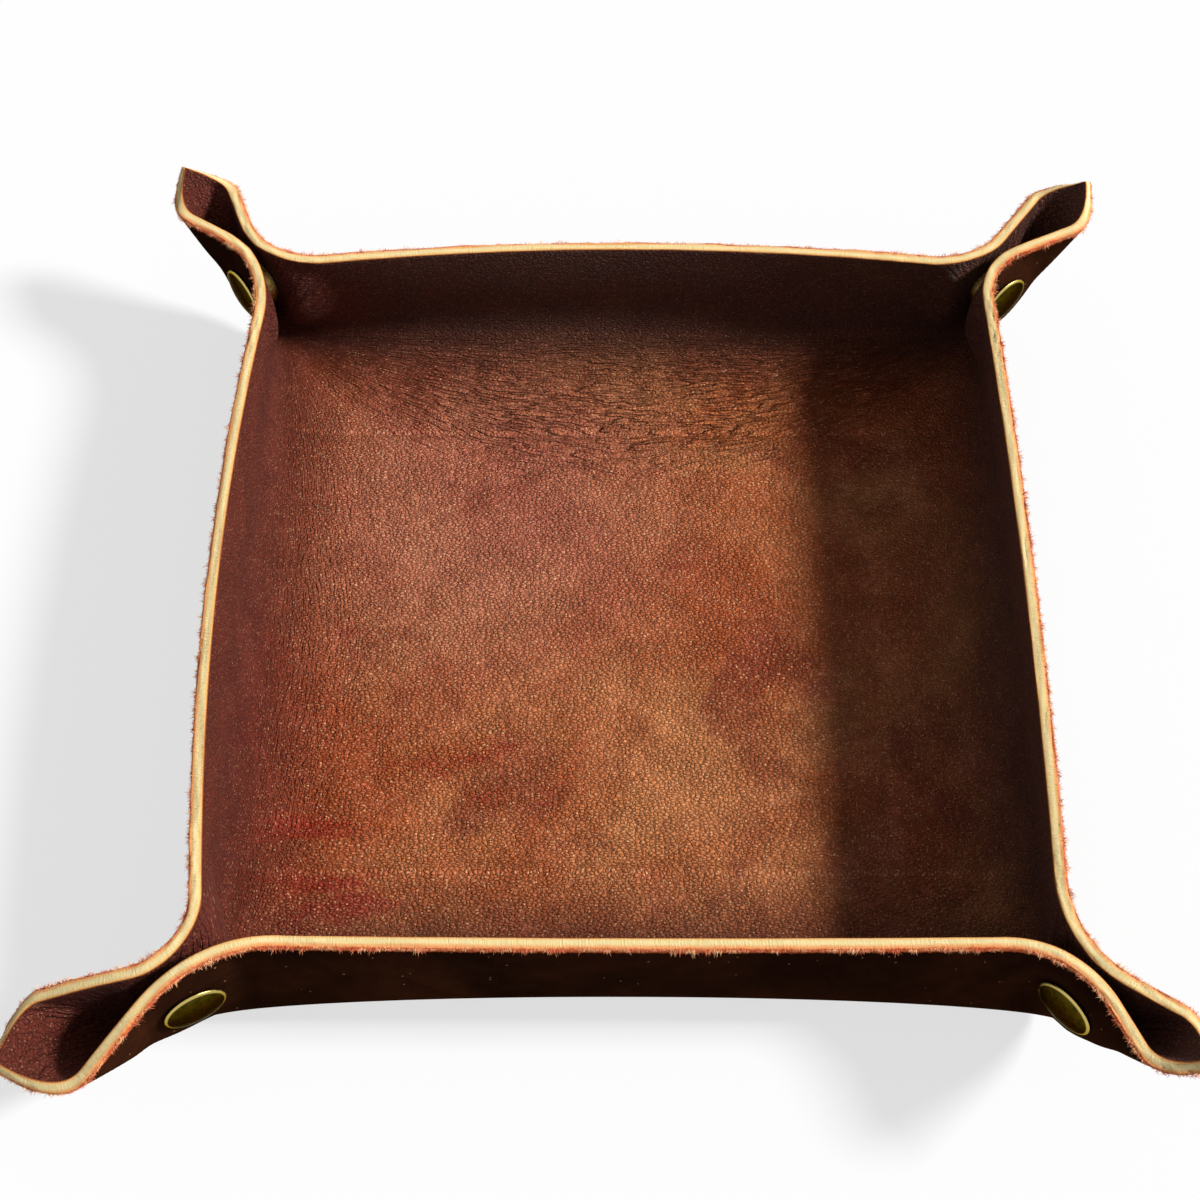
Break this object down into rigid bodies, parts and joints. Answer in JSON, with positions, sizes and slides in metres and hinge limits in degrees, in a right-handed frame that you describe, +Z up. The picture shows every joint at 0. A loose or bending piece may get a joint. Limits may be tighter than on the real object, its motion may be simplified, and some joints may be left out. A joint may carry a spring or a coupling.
{
  "type": "valet tray",
  "caption": "Valet tray folded from one thick brown leather square: low walls rise from a soft bend and a brass snap pinches each corner into an open ear.",
  "frame": {"origin": "centre of the tray's flat resting face, in the plane that it stands on", "axes": "+Z up out of the tray, -Y towards the front wall, +X towards the right wall"},
  "size_m": [0.2708, 0.26, 0.0446],
  "materials": {
    "brown_leather": "satin",
    "aged_brass": "satin",
    "plated_brass": "satin",
    "spring_wire": "satin"
  },
  "bodies": {
    "root": {"leather_sheet": "brown_leather", "front_left_cap": "aged_brass", "front_left_socket": "plated_brass", "front_left_spring": "spring_wire", "front_left_stud": "plated_brass", "front_left_post": "plated_brass", "front_right_cap": "aged_brass", "front_right_socket": "plated_brass", "front_right_spring": "spring_wire", "front_right_stud": "plated_brass", "front_right_post": "plated_brass", "back_right_cap": "aged_brass", "back_right_socket": "plated_brass", "back_right_spring": "spring_wire", "back_right_stud": "plated_brass", "back_right_post": "plated_brass", "back_left_cap": "aged_brass", "back_left_socket": "plated_brass", "back_left_spring": "spring_wire", "back_left_stud": "plated_brass", "back_left_post": "plated_brass"}
  },
  "joints": []
}
